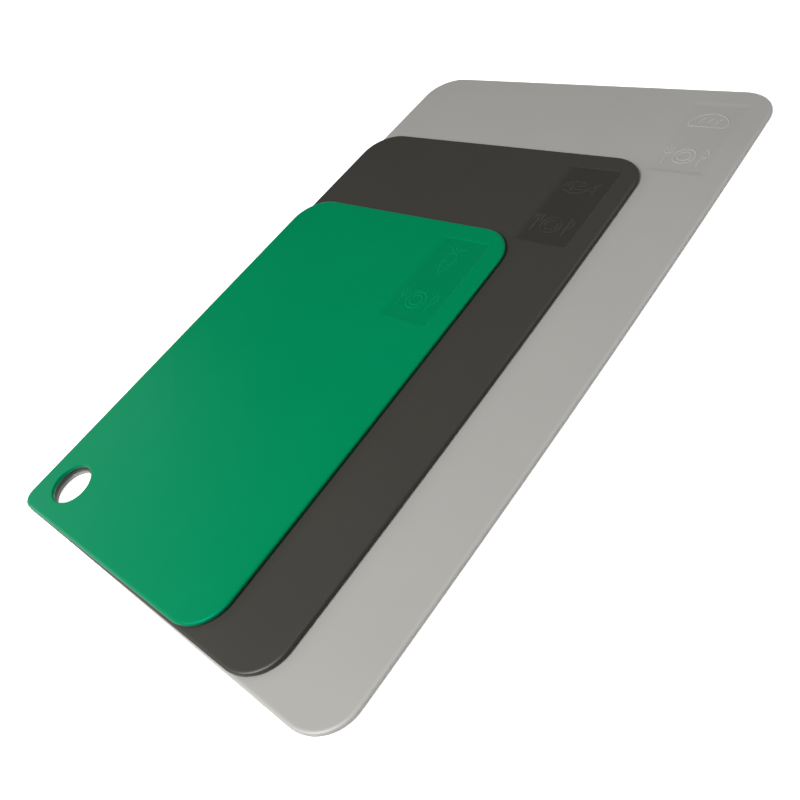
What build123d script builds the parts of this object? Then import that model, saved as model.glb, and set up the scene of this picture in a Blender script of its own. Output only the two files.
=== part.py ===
from build123d import *
from math import cos, radians, sin
import os

# A set of three flexible cutting mats, stacked as they are kept: the large one below,
# the medium one on it and the small one on top. All three hang from one hook, so their
# holes lie over each other, and the upper mats are turned a little about them.
# Lengths are in millimetres and angles in degrees.

# sheet sizes, across and along, without the gentle bulge of the right side
large_width = 227.5
large_length = 380.0
large_bulge = 2.4
medium_width = 190.2
medium_length = 313.6
medium_bulge = 1.8
small_width = 154.45
small_length = 243.55
small_bulge = 0.5

# every sheet has the same thickness and the same corners
thickness = 2.4
rim_share = 0.42
corner_radius = 20.0
hole_corner_radius = 7.5

# the hanging hole, near the corner with the small radius
hole_radius = 11.0
hole_rim_share = 0.31

# how far the hole's axis lies in from the long side and from the short end of each mat
large_hole_from_side = 20.3
large_hole_from_end = 20.3
medium_hole_from_side = 20.6
medium_hole_from_end = 20.4
small_hole_from_side = 21.55
small_hole_from_end = 20.85

# the large and the medium mat's holes share an axis, and the small mat's lies this much
# further right and further back
small_hole_shift = 1.0

# how far the upper mats are turned about the hole, counterclockwise from above
medium_turn = 0.39
small_turn = 0.8

# the recessed label panel in the corner across from the hole
panel_width = 32.8
panel_length = 60.2
panel_side_margin = 10.5
panel_end_margin = 10.7
panel_corner_radius = 2.0
panel_depth_share = 0.11
panel_wall_slant = 65.0

# raised line drawings on the panel floor
motif_size = 20.0
relief_line = 0.8
relief_height_share = 0.8
upper_motif_share = 0.235
lower_motif_share = -0.255

# The drawings, in shares of the motif size from each one's centre. An arc is given by
# its two ends with a point between them, a line by its corners.
carrot_arc_shares = (
    ((-0.18, 0.125), (0, 0.27), (0.18, 0.125)),
    ((-0.18, 0.125), (-0.145, -0.175), (0, -0.475)),
    ((0.18, 0.125), (0.145, -0.175), (0, -0.475)),
    ((0, 0.26), (-0.03, 0.4), (0, 0.52)),
    ((-0.03, 0.26), (-0.12, 0.395), (-0.26, 0.46)),
    ((0.03, 0.26), (0.12, 0.395), (0.26, 0.46)),
)
carrot_line_shares = (
    ((-0.16, -0.03), (-0.04, -0.03)),
    ((0.155, -0.14), (0.05, -0.14)),
    ((-0.11, -0.24), (-0.02, -0.24)),
)
carrot_ring_shares = ()
fish_arc_shares = (
    ((-0.5, 0), (-0.125, 0.23), (0.275, 0)),
    ((-0.5, 0), (-0.125, -0.23), (0.275, 0)),
    ((0.5, 0.21), (0.43, 0), (0.5, -0.21)),
    ((-0.28, 0.16), (-0.21, 0), (-0.28, -0.16)),
)
fish_line_shares = (
    ((0.5, 0.21), (0.275, 0), (0.5, -0.21)),
    ((-0.08, 0.07), (0.11, 0.07)),
    ((-0.08, -0.07), (0.11, -0.07)),
)
fish_ring_shares = ((-0.36, 0.045, 0.045),)
loaf_arc_shares = (
    ((-0.45, -0.25), (-0.515, -0.075), (-0.43, 0.1)),
    ((0.45, -0.25), (0.515, -0.075), (0.43, 0.1)),
    ((-0.43, 0.1), (0, 0.3), (0.43, 0.1)),
)
loaf_line_shares = (
    ((-0.45, -0.25), (0.45, -0.25)),
    ((-0.27, -0.08), (-0.16, 0.14)),
    ((-0.045, -0.08), (0.065, 0.16)),
    ((0.18, -0.08), (0.28, 0.12)),
)
loaf_ring_shares = ()
# a plate between a fork and a knife
setting_arc_shares = (((0.45, 0.325), (0.575, 0.125), (0.45, -0.05)),)
setting_line_shares = (
    ((-0.475, -0.325), (-0.475, 0.325)),
    ((-0.575, 0.325), (-0.575, 0.125), (-0.475, 0.025)),
    ((-0.375, 0.325), (-0.375, 0.125), (-0.475, 0.025)),
    ((0.45, -0.325), (0.45, 0.325)),
)
setting_ring_shares = ((0, 0, 0.28), (0, 0, 0.17))

rim_radius = thickness * rim_share
hole_rim_radius = thickness * hole_rim_share
panel_depth = thickness * panel_depth_share
relief_height = panel_depth * relief_height_share
upper_motif_y = panel_length * upper_motif_share
lower_motif_y = panel_length * lower_motif_share

# The whole stack is centred on the origin. The small mat's far left corner reaches
# furthest left, because it is turned the most, and the medium mat's hole corner
# reaches furthest forward.
small_cos = cos(radians(small_turn))
small_sin = sin(radians(small_turn))
left_arc_x = corner_radius - small_hole_from_side
left_arc_y = small_length - small_hole_from_end - corner_radius
stack_left = small_hole_shift + left_arc_x * small_cos - left_arc_y * small_sin - corner_radius
medium_cos = cos(radians(medium_turn))
medium_sin = sin(radians(medium_turn))
near_arc_x = hole_corner_radius - medium_hole_from_side
near_arc_y = hole_corner_radius - medium_hole_from_end
stack_near = near_arc_x * medium_sin + near_arc_y * medium_cos - hole_corner_radius
stack_right = large_width - large_hole_from_side + large_bulge
stack_far = large_length - large_hole_from_end
hook_x = -(stack_left + stack_right) / 2
hook_y = -(stack_near + stack_far) / 2

# one frame per mat, on its hole's axis at the mat's underside
large_plane = Plane(origin=(hook_x, hook_y, 0), z_dir=(0, 0, 1))
medium_plane = Plane(
    origin=(hook_x, hook_y, thickness),
    x_dir=(medium_cos, medium_sin, 0),
    z_dir=(0, 0, 1),
)
small_plane = Plane(
    origin=(hook_x + small_hole_shift, hook_y + small_hole_shift, 2 * thickness),
    x_dir=(small_cos, small_sin, 0),
    z_dir=(0, 0, 1),
)


def mat_outline(width, length, bulge, from_side, from_end):
    """The sheet's outline as a sketch, with its hole's axis at the origin."""
    left = -from_side
    near = -from_end
    right = width - from_side
    far = length - from_end
    middle = (near + far) / 2
    with BuildSketch() as outline:
        with BuildLine():
            Polyline((right, near), (left, near), (left, far), (right, far))
            ThreePointArc((right, far), (right + bulge, middle), (right, near))
        make_face()
        by_distance = vertices().sort_by_distance((left, near))
        fillet(by_distance[1:], corner_radius)
        fillet(vertices().sort_by_distance((left, near))[0], hole_corner_radius)
    return outline.sketch


def panel_centre(width, length, from_side, from_end):
    """The centre of the label panel, measured from the hole's axis."""
    x = width - from_side - panel_side_margin - panel_width / 2
    y = length - from_end - panel_end_margin - panel_length / 2
    return x, y


def drawing(arc_shares, line_shares, ring_shares):
    """One drawing in lines of one width with round ends, centred on its origin."""
    with BuildSketch() as lines:
        for points in arc_shares:
            with BuildLine() as path:
                ThreePointArc(*[(x * motif_size, y * motif_size) for x, y in points])
            SlotArc(path.wire(), relief_line)
        for points in line_shares:
            with BuildLine() as path:
                Polyline(*[(x * motif_size, y * motif_size) for x, y in points])
            SlotArc(path.wire(), relief_line)
        for x, y, radius in ring_shares:
            with Locations((x * motif_size, y * motif_size)):
                Circle(radius * motif_size + relief_line / 2)
                Circle(radius * motif_size - relief_line / 2, mode=Mode.SUBTRACT)
    return lines.sketch


carrot = drawing(carrot_arc_shares, carrot_line_shares, carrot_ring_shares)
fish = drawing(fish_arc_shares, fish_line_shares, fish_ring_shares)
loaf = drawing(loaf_arc_shares, loaf_line_shares, loaf_ring_shares)
place_setting = drawing(setting_arc_shares, setting_line_shares, setting_ring_shares)

with BuildPart() as large_mat:
    # the sheet, rounded all round its rim
    with BuildSketch(large_plane):
        add(
            mat_outline(
                large_width, large_length, large_bulge, large_hole_from_side, large_hole_from_end
            )
        )
    extrude(amount=thickness)
    fillet(faces().sort_by(Axis.Z)[-1].outer_wire().edges(), rim_radius)
    fillet(faces().sort_by(Axis.Z)[0].outer_wire().edges(), rim_radius)
    # the hanging hole, with its edges eased
    with BuildSketch(large_plane):
        Circle(hole_radius)
    extrude(amount=thickness, mode=Mode.SUBTRACT)
    round_walls = faces().filter_by(GeomType.CYLINDER)
    hole_wall = round_walls.sort_by_distance(large_plane.origin)[0]
    fillet(hole_wall.edges().filter_by(GeomType.CIRCLE), hole_rim_radius)
    # the label panel, sunk into the upper face with slanted walls
    panel_x, panel_y = panel_centre(
        large_width, large_length, large_hole_from_side, large_hole_from_end
    )
    with BuildSketch(large_plane.offset(thickness)):
        with Locations((panel_x, panel_y)):
            RectangleRounded(panel_width, panel_length, panel_corner_radius)
    extrude(amount=-panel_depth, taper=panel_wall_slant, mode=Mode.SUBTRACT)
    # a loaf above a place setting, in raised lines that stay below the upper face
    with BuildSketch(large_plane.offset(thickness - panel_depth)):
        with Locations((panel_x, panel_y + upper_motif_y)):
            add(loaf)
        with Locations((panel_x, panel_y + lower_motif_y)):
            add(place_setting)
    extrude(amount=relief_height)
large_mat.part.label = "large_mat"

with BuildPart() as medium_mat:
    # the sheet, rounded all round its rim
    with BuildSketch(medium_plane):
        add(
            mat_outline(
                medium_width, medium_length, medium_bulge, medium_hole_from_side, medium_hole_from_end
            )
        )
    extrude(amount=thickness)
    fillet(faces().sort_by(Axis.Z)[-1].outer_wire().edges(), rim_radius)
    fillet(faces().sort_by(Axis.Z)[0].outer_wire().edges(), rim_radius)
    # the hanging hole, with its edges eased
    with BuildSketch(medium_plane):
        Circle(hole_radius)
    extrude(amount=thickness, mode=Mode.SUBTRACT)
    round_walls = faces().filter_by(GeomType.CYLINDER)
    hole_wall = round_walls.sort_by_distance(medium_plane.origin)[0]
    fillet(hole_wall.edges().filter_by(GeomType.CIRCLE), hole_rim_radius)
    # the label panel, sunk into the upper face with slanted walls
    panel_x, panel_y = panel_centre(
        medium_width, medium_length, medium_hole_from_side, medium_hole_from_end
    )
    with BuildSketch(medium_plane.offset(thickness)):
        with Locations((panel_x, panel_y)):
            RectangleRounded(panel_width, panel_length, panel_corner_radius)
    extrude(amount=-panel_depth, taper=panel_wall_slant, mode=Mode.SUBTRACT)
    # a fish above a place setting, in raised lines that stay below the upper face
    with BuildSketch(medium_plane.offset(thickness - panel_depth)):
        with Locations((panel_x, panel_y + upper_motif_y)):
            add(fish)
        with Locations((panel_x, panel_y + lower_motif_y)):
            add(place_setting)
    extrude(amount=relief_height)
medium_mat.part.label = "medium_mat"

with BuildPart() as small_mat:
    # the sheet, rounded all round its rim
    with BuildSketch(small_plane):
        add(
            mat_outline(
                small_width, small_length, small_bulge, small_hole_from_side, small_hole_from_end
            )
        )
    extrude(amount=thickness)
    fillet(faces().sort_by(Axis.Z)[-1].outer_wire().edges(), rim_radius)
    fillet(faces().sort_by(Axis.Z)[0].outer_wire().edges(), rim_radius)
    # the hanging hole, with its edges eased
    with BuildSketch(small_plane):
        Circle(hole_radius)
    extrude(amount=thickness, mode=Mode.SUBTRACT)
    round_walls = faces().filter_by(GeomType.CYLINDER)
    hole_wall = round_walls.sort_by_distance(small_plane.origin)[0]
    fillet(hole_wall.edges().filter_by(GeomType.CIRCLE), hole_rim_radius)
    # the label panel, sunk into the upper face with slanted walls
    panel_x, panel_y = panel_centre(
        small_width, small_length, small_hole_from_side, small_hole_from_end
    )
    with BuildSketch(small_plane.offset(thickness)):
        with Locations((panel_x, panel_y)):
            RectangleRounded(panel_width, panel_length, panel_corner_radius)
    extrude(amount=-panel_depth, taper=panel_wall_slant, mode=Mode.SUBTRACT)
    # a carrot above a place setting, in raised lines that stay below the upper face
    with BuildSketch(small_plane.offset(thickness - panel_depth)):
        with Locations((panel_x, panel_y + upper_motif_y)):
            add(carrot)
        with Locations((panel_x, panel_y + lower_motif_y)):
            add(place_setting)
    extrude(amount=relief_height)
small_mat.part.label = "small_mat"

os.makedirs("parts", exist_ok=True)
export_step(large_mat.part, "parts/large_mat.step")
export_step(medium_mat.part, "parts/medium_mat.step")
export_step(small_mat.part, "parts/small_mat.step")
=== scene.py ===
import math

import bpy
import numpy as np
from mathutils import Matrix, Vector


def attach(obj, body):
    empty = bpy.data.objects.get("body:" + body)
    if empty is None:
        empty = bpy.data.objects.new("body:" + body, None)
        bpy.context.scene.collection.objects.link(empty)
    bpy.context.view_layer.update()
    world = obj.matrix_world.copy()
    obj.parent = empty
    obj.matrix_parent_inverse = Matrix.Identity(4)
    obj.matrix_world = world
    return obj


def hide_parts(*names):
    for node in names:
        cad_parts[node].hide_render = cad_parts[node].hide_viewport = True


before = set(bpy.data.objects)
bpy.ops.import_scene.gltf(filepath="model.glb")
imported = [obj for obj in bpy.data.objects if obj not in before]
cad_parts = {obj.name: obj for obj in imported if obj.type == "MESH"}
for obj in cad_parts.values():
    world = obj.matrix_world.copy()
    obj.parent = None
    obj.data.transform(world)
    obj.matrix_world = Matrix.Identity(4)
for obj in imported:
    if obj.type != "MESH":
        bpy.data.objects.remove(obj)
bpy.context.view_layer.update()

# The large mat is the bottom sheet of the stack, moulded in one piece from light grey
# flexible plastic, with a rounded rim and a hanging hole in its tightest corner. The two
# other mats lie loose on it, each turned a little about its own hole.
large_width, large_length, large_bulge = 0.2274, 0.3798, 0.0024
large_hole_inset = (0.0203, 0.0203)
large_panel_wall = 0.004
large_colour = (0.423, 0.413, 0.391)
hook_axis = np.array([-0.0931100, -0.1696056])
sheet_thickness = 0.0024

sheet_corner = 0.020
hole_corner = 0.0075
side_share = 0.98
arc_steps = 30


def rounded_outline(width, length, bulge, inset):
    """Points and outward normals once round a sheet, counterclockwise from above.

    The middle of the hole is the origin, and inset is how far in it lies from the left and
    the near side. Each corner is an arc, and so is the right side: its radius is half the
    length squared plus the bulge squared, over twice the bulge. A corner arc touches it
    where their centres lie as far apart as their radii differ. The right side's arc stops
    a little short of the corner arcs, and straight lines join all the arcs' ends.
    """
    left, near = -inset[0], -inset[1]
    right, far = width + left, length + near
    half = length / 2
    side = (half**2 + bulge**2) / (2 * bulge)
    side_x, side_y = right + bulge - side, near + half
    rise = half - sheet_corner
    corner_x = side_x + math.sqrt((side - sheet_corner) ** 2 - rise**2)
    lean = math.atan2(rise, corner_x - side_x)
    quarter = math.pi / 2
    left_x = left + sheet_corner
    arcs = [
        (left + hole_corner, near + hole_corner, hole_corner, 2 * quarter, 3 * quarter),
        (corner_x, near + sheet_corner, sheet_corner, -quarter, -lean),
        (side_x, side_y, side, -lean * side_share, lean * side_share),
        (corner_x, far - sheet_corner, sheet_corner, lean, quarter),
        (left_x, far - sheet_corner, sheet_corner, quarter, 2 * quarter),
    ]
    x, y, radius, start, stop = np.array(arcs).T[:, :, None]
    angle = start + (stop - start) * np.linspace(0, 1, arc_steps)
    normals = np.stack([np.cos(angle), np.sin(angle)], axis=2)
    points = np.stack([x, y], axis=2) + radius[:, :, None] * normals
    return points.reshape(-1, 2), normals.reshape(-1, 2)


def carried_profile(loop, normals, offsets, heights):
    """A profile carried along a closed loop, one row of points per profile point.

    Each point is the loop's point plus its normal times the offset, at the profile's height.
    """
    plan = loop[None] + offsets[:, None, None] * normals[None]
    level = np.broadcast_to(heights[:, None, None], plan.shape[:2] + (1,))
    return np.concatenate([plan, level], axis=2)


# each edge: how far in its dome starts, the dome's last slope, and the arc's radius
rim_dome, rim_slope, rim_radius = 0.002, 0.45, 0.0009
hole_dome, hole_slope, hole_lip = 0.001, 0.1, 0.00075
edge_steps = 6


def round_over(reach, slope, radius):
    """Offsets and heights down an edge: a flat dome, an arc to the upright, and an arc below.

    The dome's slope grows with the square of the way out, so its drop grows with the cube.
    The arc goes on from that slope, and the same one is turned over below.
    """
    turn = np.linspace(math.atan(slope), math.pi / 2, edge_steps)
    arc_in, arc_up = radius * (1 - np.sin(turn)), radius * np.cos(turn)
    out = np.linspace(0, 1, edge_steps)[:-1]
    run = reach - arc_in[0]
    fall = slope * run / 3
    inward = np.concatenate([reach - run * out, arc_in, arc_in[::-1]])
    dome = sheet_thickness - fall * out**3
    upper = sheet_thickness - fall - arc_up[0] + arc_up
    lower = arc_up[0] - arc_up[::-1]
    return -inward, np.concatenate([dome, upper, lower])


# each drawing is in motif sizes: arcs through three points, straight lines, and rings
loaf_drawing = {
    "arcs": [
        [(-0.45, -0.25), (-0.515, -0.075), (-0.43, 0.1)],
        [(0.45, -0.25), (0.515, -0.075), (0.43, 0.1)],
        [(-0.43, 0.1), (0, 0.3), (0.43, 0.1)],
    ],
    "lines": [
        [(-0.45, -0.25), (0.45, -0.25)],
        [(-0.27, -0.08), (-0.16, 0.14)],
        [(-0.045, -0.08), (0.065, 0.16)],
        [(0.18, -0.08), (0.28, 0.12)],
    ],
}

# a plate between a fork and a knife, under each mat's food drawing
setting_drawing = {
    "arcs": [[(0.45, 0.325), (0.575, 0.125), (0.45, -0.05)]],
    "lines": [
        [(-0.475, -0.325), (-0.475, 0.325)],
        [(-0.575, 0.325), (-0.575, 0.125)],
        [(-0.575, 0.125), (-0.475, 0.025)],
        [(-0.375, 0.325), (-0.375, 0.125)],
        [(-0.375, 0.125), (-0.475, 0.025)],
        [(0.45, -0.325), (0.45, 0.325)],
    ],
    "rings": [(0, 0, 0.28), (0, 0, 0.17)],
}


def arc_chords(arcs, steps=18):
    """Short chords along arcs through three points each.

    The centre is where the perpendicular bisectors of the first point's chords to the
    other two meet, and the turn goes from the first point to the last past the middle one.
    """
    first, middle, last = np.array(arcs, float).transpose(1, 0, 2)
    a, b = middle - first, last - first
    cross = 2 * (a[:, 0] * b[:, 1] - a[:, 1] * b[:, 0])
    aa, bb = (a**2).sum(1), (b**2).sum(1)
    shift = np.stack([b[:, 1] * aa - a[:, 1] * bb, a[:, 0] * bb - b[:, 0] * aa], 1)
    centre = first + shift / cross[:, None]
    radius = np.hypot(*(first - centre).T)
    start, via, stop = (np.arctan2(*(p - centre).T[::-1]) for p in (first, middle, last))
    full = 2 * math.pi
    turn = (stop - start) % full
    turn = np.where((via - start) % full < turn, turn, turn - full)
    angle = start[:, None] + turn[:, None] * np.linspace(0, 1, steps + 1)
    spokes = np.stack([np.cos(angle), np.sin(angle)], 2)
    points = centre[:, None] + radius[:, None, None] * spokes
    return np.stack([points[:, :-1], points[:, 1:]], 2).reshape(-1, 2, 2)


def distance_to_drawing(x, y, arcs, lines, rings=()):
    """How far each place is from the nearest line of a drawing, all in motif sizes.

    For a chord that is the distance to its nearest point, and for a ring the difference
    between the distance to its centre and its radius.
    """
    place = np.stack([x.ravel(), y.ravel()], 1)
    chords = np.concatenate([arc_chords(arcs), np.array(lines, float)])
    start, run = chords[:, 0], chords[:, 1] - chords[:, 0]
    rel = place[:, None] - start[None]
    along = np.clip((rel * run).sum(2) / (run**2).sum(1), 0, 1)
    nearest = np.hypot(*(rel - along[:, :, None] * run[None]).transpose(2, 0, 1)).min(1)
    for ring_x, ring_y, ring in rings:
        off = abs(np.hypot(place[:, 0] - ring_x, place[:, 1] - ring_y) - ring)
        nearest = np.minimum(nearest, off)
    return nearest.reshape(x.shape)


def eased(value, low, high):
    """0 below low, 1 above high, and three times the square less twice the cube between."""
    share = np.clip((value - low) / (high - low), 0, 1)
    return share * share * (3 - 2 * share)


panel_size = np.array([0.0328, 0.0602])
panel_margins = np.array([0.0105, 0.0107])
panel_corner = 0.002
panel_depth = 0.00026
panel_ramps = (0.006, 0.0025)
panel_apron = 0.0006
panel_grid = 0.0002
motif_size = 0.020
motif_middles = np.array([0.235, -0.255]) * panel_size[1]
motif_height = 0.00021
motif_line = 0.0008
# a line's flank goes down between these distances from its middle
motif_flank = np.array([0.25, 0.62]) * motif_line


def label_panel(middle, food_drawing, wall):
    """The sunken panel as a grid of points, with how deep it is and where its lines stand.

    The depth eases in over the wall's width from the border of a rectangle with round
    corners, times a gentler ramp in from its left side and one from its near side. A line
    rises where the nearest stroke of a drawing is under about half its width away.
    """
    reach = panel_size / 2 + panel_apron
    counts = np.round(2 * reach / panel_grid).astype(int) + 1
    x, y = np.meshgrid(*(np.linspace(-r, r, n) for r, n in zip(reach, counts)))
    corner = panel_size / 2 - panel_corner
    past_x, past_y = abs(x) - corner[0], abs(y) - corner[1]
    past_corner = np.hypot(np.maximum(past_x, 0), np.maximum(past_y, 0))
    outside = past_corner + np.minimum(np.maximum(past_x, past_y), 0)
    sunk = eased(panel_corner - outside, 0, wall)
    for across, size, ramp in zip((x, y), panel_size, panel_ramps):
        sunk = sunk * eased(across + size / 2, 0, ramp)
    food, setting = (
        distance_to_drawing(x / motif_size, (y - motif_middle) / motif_size, **drawing)
        for motif_middle, drawing in zip(motif_middles, (food_drawing, setting_drawing))
    )
    raised = 1 - eased(np.minimum(food, setting) * motif_size, *motif_flank)
    z = sheet_thickness - panel_depth * sunk + motif_height * raised
    return np.stack([x + middle[0], y + middle[1], z], axis=2), sunk, raised


def strip_faces(numbers, closed, flip):
    """Four-cornered faces between the rows of a grid of point numbers.

    Each joins a point, the one in the next row and their followers. Closed joins the
    last column to the first, and flip turns the faces over.
    """
    following = np.roll(numbers, -1, axis=1) if closed else numbers[:, 1:]
    here = numbers if closed else numbers[:, :-1]
    corners = np.stack([here[:-1], here[1:], following[1:], following[:-1]], 2)
    faces = corners.reshape(-1, 4)
    return faces[:, ::-1] if flip else faces


def stretch(loop, start, stop):
    """The part of a closed loop of numbers from start to stop, both included."""
    return np.roll(loop, -start)[: (stop - start) % len(loop) + 1]


hole_radius = 0.0110
hole_steps = 96


def sheet_piece(
    name, width, length, bulge, inset, food_drawing, panel_wall, hole_axis, turn=0.0, level=0.0
):
    """One mat as a closed mesh: rim, hole wall, panel grid, and flat faces between them.

    The upper and the lower flat face are each cut in two along a line from the hole's
    corner through the hole, and above through the panel, to the corner across from it.
    The mat is turned about its hole, counterclockwise from above and in degrees. The hole
    then goes to its axis, and the underside to the level.
    """
    outline, normals = rounded_outline(width, length, bulge, inset)
    rim_offsets, rim_heights = round_over(rim_dome, rim_slope, rim_radius)
    rim = carried_profile(outline, normals, rim_offsets, rim_heights)
    angle = np.arange(hole_steps) * (2 * math.pi / hole_steps)
    spokes = np.stack([np.cos(angle), np.sin(angle)], 1)
    bore_offsets, bore_heights = round_over(hole_dome, hole_slope, hole_lip)
    bore = carried_profile(hole_radius * spokes, spokes, -bore_offsets, bore_heights)
    middle = np.array([width, length]) - inset - panel_margins - panel_size / 2
    panel, sunk, raised = label_panel(middle, food_drawing, panel_wall)

    blocks = [rim, bore, panel]
    firsts = np.cumsum([0] + [b.shape[0] * b.shape[1] for b in blocks])
    rim_no, bore_no, panel_no = (
        np.arange(b.shape[0] * b.shape[1]).reshape(b.shape[:2]) + first
        for b, first in zip(blocks, firsts)
    )
    points = np.concatenate([b.reshape(-1, 3) for b in blocks])
    strips = np.concatenate([
        strip_faces(rim_no, True, False),
        strip_faces(bore_no, True, True),
        strip_faces(panel_no, False, True),
    ])

    # the cut goes through these points of the outline, the hole's edge and the panel's border
    hole_end, far_end = arc_steps // 2, 3 * arc_steps + arc_steps // 2
    back, front = hole_steps * 5 // 8, hole_steps // 8
    border = np.concatenate(
        [panel_no[0, :-1], panel_no[:-1, -1], panel_no[-1, :0:-1], panel_no[:0:-1, 0]]
    )
    near_left, far_right = 0, sum(panel_no.shape) - 2
    upper, mouth = rim_no[0], bore_no[0]
    lower, foot = rim_no[-1], bore_no[-1]
    upper_halves = [
        np.concatenate([
            stretch(upper, hole_end, far_end),
            stretch(border, near_left, far_right)[::-1],
            stretch(mouth, back, front)[::-1],
        ]),
        np.concatenate([
            stretch(upper, far_end, hole_end),
            stretch(mouth, front, back)[::-1],
            stretch(border, far_right, near_left)[::-1],
        ]),
    ]
    lower_halves = [
        np.concatenate([stretch(lower, hole_end, far_end), stretch(foot, back, front)[::-1]]),
        np.concatenate([stretch(lower, far_end, hole_end), stretch(foot, front, back)[::-1]]),
    ]
    flats = upper_halves + [half[::-1] for half in lower_halves]

    swing = math.radians(turn)
    turned = np.array([[math.cos(swing), math.sin(swing)], [-math.sin(swing), math.cos(swing)]])
    points[:, :2] = points[:, :2] @ turned + hole_axis
    points[:, 2] += level

    mesh = bpy.data.meshes.new(name)
    mesh.from_pydata(points.tolist(), [], strips.tolist() + [f.tolist() for f in flats])
    smooth = np.arange(len(strips) + len(flats)) < len(strips)
    mesh.polygons.foreach_set("use_smooth", smooth)
    # how far out on the rim each point lies, used for a painted highlight there
    outermost = np.repeat(1 + rim_offsets / rim_dome, len(outline))
    shares = {"outermost": (0, outermost), "sunk": (2, sunk), "raised": (2, raised)}
    for label, (block, share) in shares.items():
        values = np.zeros(len(points), dtype=np.float32)
        values[firsts[block]:firsts[block + 1]] = share.ravel()
        mesh.attributes.new(label, "FLOAT", "POINT").data.foreach_set("value", values)
    mesh.update()
    piece = bpy.data.objects.new(name, mesh)
    bpy.context.scene.collection.objects.link(piece)
    return piece


class Signal:
    """A socket in a node tree, so that sums and products of sockets and numbers can be written."""

    def __init__(self, tree, socket=None):
        self.tree, self.socket = tree, socket

    def node(self, kind, inputs=(), out=0, **settings):
        """Adds a node, sets its settings first, and then sets or links its sockets."""
        made = self.tree.nodes.new(kind)
        for name, value in settings.items():
            setattr(made, name, value)
        for key, value in dict(inputs).items():
            if isinstance(value, Signal):
                value.feed(made.inputs[key])
            else:
                made.inputs[key].default_value = value
        return Signal(self.tree, made.outputs[out])

    def feed(self, socket):
        """Links the signal to a socket of another node."""
        self.tree.links.new(self.socket, socket)

    def math(self, operation, first, second):
        """What a Math node makes of two signals, or of a signal and a number."""
        return self.node("ShaderNodeMath", {0: first, 1: second}, operation=operation)

    def __add__(self, other):
        return self.math("ADD", self, other)

    def __sub__(self, other):
        return self.math("SUBTRACT", self, other)

    def __rsub__(self, other):
        return self.math("SUBTRACT", other, self)

    def __mul__(self, other):
        return self.math("MULTIPLY", self, other)

    __radd__, __rmul__ = __add__, __mul__


def tree_with(owner, kind):
    """Turns on a material's or a world's nodes, and gives their tree and its shader node."""
    owner.use_nodes = True
    tree = owner.node_tree
    return Signal(tree), next(node for node in tree.nodes if node.type == kind)


# about how many clouds, grains and streaks of scuffing there are to a metre
cloud_scale, grain_scale, streak_scale = 22.0, 1900.0, 900.0
streak_turn = (0, 0, 0.5)
streak_stretch = (1, 0.03, 1)
streak_limits, scuffed_clouds = (0.66, 0.74), (0.5, 0.62)
grain_relief = 0.00003


def moulded_sheet(name, colour, gloss, panel_painted_shade, rim_painted_highlight=0.0, gloss_tint=(1, 1, 1, 1)):
    """Satin moulded plastic: fine grain, cloudy colour and gloss, faint scuffs, a duller panel in
    painted shade.

    The colour is multiplied by a tone close to 1, which is lighter on the drawn lines, lighter
    on the outermost part of the rim by a painted highlight, and darker in the panel by painted
    shade. Scuffs show where streaks pass a limit inside the brighter clouds.
    """
    material = bpy.data.materials.new(name)
    tree, shader = tree_with(material, "BSDF_PRINCIPLED")
    place = tree.node("ShaderNodeTexCoord", out="Object")
    sunk, raised, outermost = (
        tree.node("ShaderNodeAttribute", attribute_name=label, out=2)
        for label in ("sunk", "raised", "outermost")
    )

    def noise(where, scale, detail):
        """Cloudy noise from 0 to 1, with about as many clouds to a metre as the scale says."""
        sockets = {"Vector": where, "Scale": scale, "Detail": detail}
        return tree.node("ShaderNodeTexNoise", sockets)

    def between(value, limits):
        """0 below the first limit, 1 above the second, and a straight rise between them."""
        sockets = {"Value": value, "From Min": limits[0], "From Max": limits[1]}
        return tree.node("ShaderNodeMapRange", sockets)

    cloud = noise(place, cloud_scale, 3.0)
    grain = noise(place, grain_scale, 2.0)
    along = {"Vector": place, "Rotation": streak_turn, "Scale": streak_stretch}
    streak = noise(tree.node("ShaderNodeMapping", along), streak_scale, 1.0)
    scuff = between(streak, streak_limits) * between(cloud, scuffed_clouds)

    # painted highlight: the outermost part of the rim is made lighter in colour
    tone = 0.97 + cloud * 0.06 + scuff * 0.03 + raised * 0.16 + outermost * rim_painted_highlight
    # painted shade: the sunken panel is made darker in colour
    painted = tree.node(
        "ShaderNodeMix", {0: 1.0, 6: (*colour, 1), 7: tone - sunk * panel_painted_shade}, out=2,
        data_type="RGBA", blend_type="MULTIPLY",
    )
    rough = 0.3 + cloud * 0.06 + grain * 0.04 + scuff * 0.08 + sunk * 0.05 - raised * 0.06
    height = grain * 0.7 - scuff * 0.15
    bump = tree.node(
        "ShaderNodeBump", {"Height": height, "Strength": 0.35, "Distance": grain_relief}
    )
    painted.feed(shader.inputs["Base Color"])
    rough.feed(shader.inputs["Roughness"])
    bump.feed(shader.inputs["Normal"])
    shader.inputs["Specular IOR Level"].default_value = gloss
    shader.inputs["Specular Tint"].default_value = gloss_tint
    return material


large_sheet = sheet_piece(
    "large_mat_sheet", large_width, large_length, large_bulge, large_hole_inset,
    loaf_drawing, large_panel_wall, hook_axis,
)
# the light grey mat gets a painted highlight on its outermost rim and a little painted shade in
# its panel
large_sheet.data.materials.append(
    moulded_sheet("light_grey_sheet", large_colour, gloss=0.5, panel_painted_shade=0.035, rim_painted_highlight=0.27)
)
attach(large_sheet, "large_mat")
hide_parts("large_mat")

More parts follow.
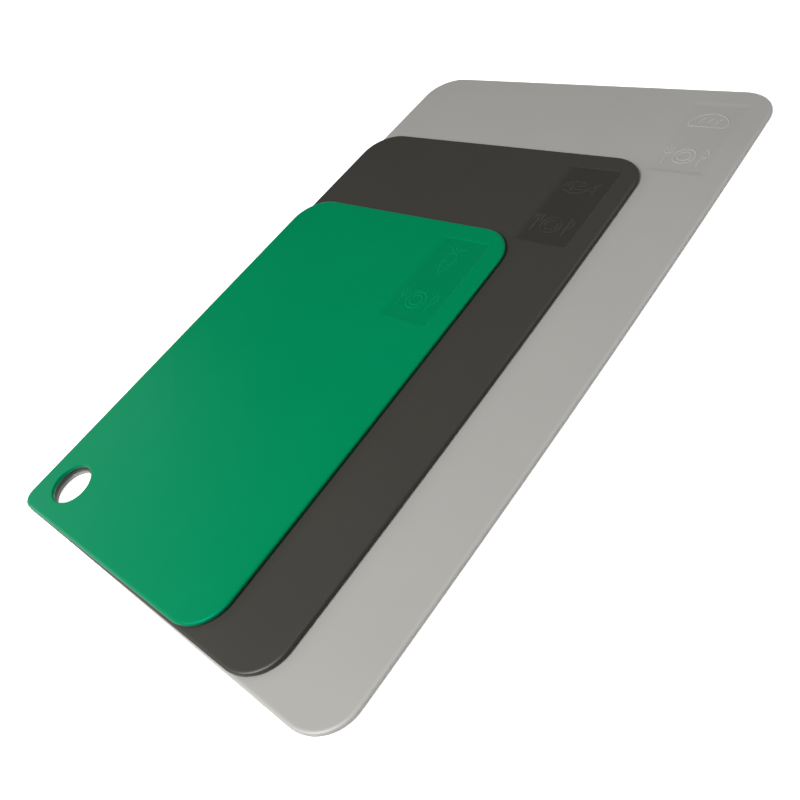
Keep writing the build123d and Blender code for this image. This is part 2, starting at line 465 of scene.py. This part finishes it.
# The medium mat is the same moulding in a smaller size and in dark grey plastic. It lies
# loose on the large one, its hole right above that one's, with a drawn fish in its panel.
medium_width, medium_length, medium_bulge = 0.1902, 0.31345, 0.0018
medium_hole_inset = (0.0206, 0.02035)
medium_panel_wall = 0.0006
medium_turn = 0.39
medium_colour = (0.052, 0.05, 0.0435)
fish_drawing = {
    "arcs": [
        [(-0.5, 0), (-0.125, 0.23), (0.275, 0)],
        [(-0.5, 0), (-0.125, -0.23), (0.275, 0)],
        [(0.5, 0.21), (0.43, 0), (0.5, -0.21)],
        [(-0.28, 0.16), (-0.21, 0), (-0.28, -0.16)],
    ],
    "lines": [
        [(0.5, 0.21), (0.275, 0)],
        [(0.275, 0), (0.5, -0.21)],
        [(-0.08, 0.07), (0.11, 0.07)],
        [(-0.08, -0.07), (0.11, -0.07)],
    ],
    "rings": [(-0.36, 0.045, 0.045)],
}

medium_sheet = sheet_piece(
    "medium_mat_sheet", medium_width, medium_length, medium_bulge, medium_hole_inset,
    fish_drawing, medium_panel_wall, hook_axis, turn=medium_turn, level=sheet_thickness,
)
# painted shade darkens the dark grey mat's panel
medium_sheet.data.materials.append(
    moulded_sheet("dark_grey_sheet", medium_colour, gloss=0.35, panel_painted_shade=0.24)
)
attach(medium_sheet, "medium_mat")
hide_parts("medium_mat")

# The small mat is the same moulding again, in green plastic, and lies loose on top. Its
# hole is 1 mm further right and back than the other two. A drawn carrot is in its panel.
small_width, small_length, small_bulge = 0.15445, 0.2433, 0.0005
small_hole_inset = (0.02155, 0.02085)
small_hole_axis = hook_axis + 0.001
small_panel_wall = 0.0006
small_turn = 0.80
small_colour = (0.0, 0.243, 0.094)
small_gloss_tint = (0, 1, 1, 1)
carrot_drawing = {
    "arcs": [
        [(-0.18, 0.125), (0, 0.27), (0.18, 0.125)],
        [(-0.18, 0.125), (-0.145, -0.175), (0, -0.475)],
        [(0.18, 0.125), (0.145, -0.175), (0, -0.475)],
        [(0, 0.26), (-0.03, 0.4), (0, 0.52)],
        [(-0.03, 0.26), (-0.12, 0.395), (-0.26, 0.46)],
        [(0.03, 0.26), (0.12, 0.395), (0.26, 0.46)],
    ],
    "lines": [
        [(-0.16, -0.03), (-0.04, -0.03)],
        [(0.155, -0.14), (0.05, -0.14)],
        [(-0.11, -0.24), (-0.02, -0.24)],
    ],
}

small_sheet = sheet_piece(
    "small_mat_sheet", small_width, small_length, small_bulge, small_hole_inset,
    carrot_drawing, small_panel_wall, small_hole_axis, turn=small_turn, level=2 * sheet_thickness,
)
# painted shade darkens the green mat's panel
small_sheet.data.materials.append(
    moulded_sheet(
        "green_sheet", small_colour, gloss=0.3, panel_painted_shade=0.09, gloss_tint=small_gloss_tint
    )
)
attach(small_sheet, "small_mat")
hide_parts("small_mat")

# The stack lies on a plain white table top that runs out of sight. The camera and shiny
# plastic see it white, and it still takes the object's soft shadow.
floor_reach = 12.0
floor_level = -0.00002
floor_white = 0.8
floor_seen_glow, floor_mirrored_glow = 0.85, 0.6

floor_mesh = bpy.data.meshes.new("table_top")
corners = np.array([[-1, -1], [1, -1], [1, 1], [-1, 1]]) * floor_reach
floor_mesh.from_pydata(np.c_[corners, np.full(4, floor_level)].tolist(), [], [[0, 1, 2, 3]])
floor = bpy.data.objects.new("table_top", floor_mesh)
bpy.context.scene.collection.objects.link(floor)


def rays_that_see(tree):
    """1 for camera and transmission rays, and 1 for glossy rays, as two signals."""
    camera, passed, glossy = (
        tree.node("ShaderNodeLightPath", out=f"Is {kind} Ray")
        for kind in ("Camera", "Transmission", "Glossy")
    )
    return camera + passed, glossy


white_top = bpy.data.materials.new("white_table")
tree, matt = tree_with(white_top, "BSDF_PRINCIPLED")
matt.inputs["Base Color"].default_value = (floor_white, floor_white, floor_white, 1)
matt.inputs["Roughness"].default_value = 0.9
matt.inputs["Specular IOR Level"].default_value = 0.0
matt.inputs["Emission Color"].default_value = (1, 1, 1, 1)
seen, mirrored = rays_that_see(tree)
glow = seen * floor_seen_glow + mirrored * floor_mirrored_glow
glow.feed(matt.inputs["Emission Strength"])
floor.data.materials.append(white_top)

# Soft studio light: a strong lamp above the holes' end, low ones on the left, weak ones at
# the far end and on the right, and a dim room. The camera sees the room white, and
# reflections see it white close to the horizon.
room_light = 0.18
horizon_fade, overhead_rise = (0.12, 0.0), (0.1, 0.75)

world = bpy.data.worlds.new("studio")
bpy.context.scene.world = world
tree, room = tree_with(world, "BACKGROUND")
room.inputs["Color"].default_value = (1, 1, 1, 1)
seen, mirrored = rays_that_see(tree)
direction = tree.node("ShaderNodeTexCoord", out="Generated")
climb = tree.node("ShaderNodeSeparateXYZ", {0: direction}, out=2)
horizon, overhead = (
    tree.node(
        "ShaderNodeMapRange", {"Value": climb, "From Min": dark, "From Max": bright},
        interpolation_type="SMOOTHSTEP",
    )
    for dark, bright in (horizon_fade, overhead_rise)
)
light = seen + mirrored * horizon + (1 - seen - mirrored) * overhead * room_light
light.feed(room.inputs["Strength"])

lamps_target = Vector((0.02, -0.08, 0))


def soft_lamp(name, place, side, power):
    """A square lamp at a place, turned so that its light falls on the lamps' target."""
    lamp = bpy.data.lights.new(name, "AREA")
    lamp.shape, lamp.size, lamp.energy = "SQUARE", side, power
    held = bpy.data.objects.new(name, lamp)
    held.location = place
    held.rotation_euler = (lamps_target - Vector(place)).to_track_quat("-Z", "Y").to_euler()
    bpy.context.scene.collection.objects.link(held)


soft_lamp("near_lamp", (-0.05, -0.63, 0.9), 0.5, 10.4)
soft_lamp("left_lamp", (-0.85, -0.52, 0.39), 0.42, 1.85)
soft_lamp("side_lamp", (-0.93, -0.1, 0.45), 0.42, 0.4)
soft_lamp("far_lamp", (0.04, 0.6, 0.8), 0.42, 0.7)
soft_lamp("right_lamp", (0.53, 0.65, 0.56), 0.42, 0.75)

# The camera stands to the right of the stack and near its hole end, tilted about its own
# line of sight as in the photograph.
eye = bpy.data.cameras.new("camera")
eye.sensor_width, eye.lens = 36.0, 34.783
eye.clip_start, eye.clip_end = 0.01, 100.0
camera = bpy.data.objects.new("camera", eye)
camera.location = (0.257085, -0.179591, 0.2513)
camera.rotation_euler = (0.72074, 0.35222, 0.67154)
bpy.context.scene.collection.objects.link(camera)
bpy.context.scene.camera = camera
bpy.context.scene.view_settings.view_transform = "Standard"
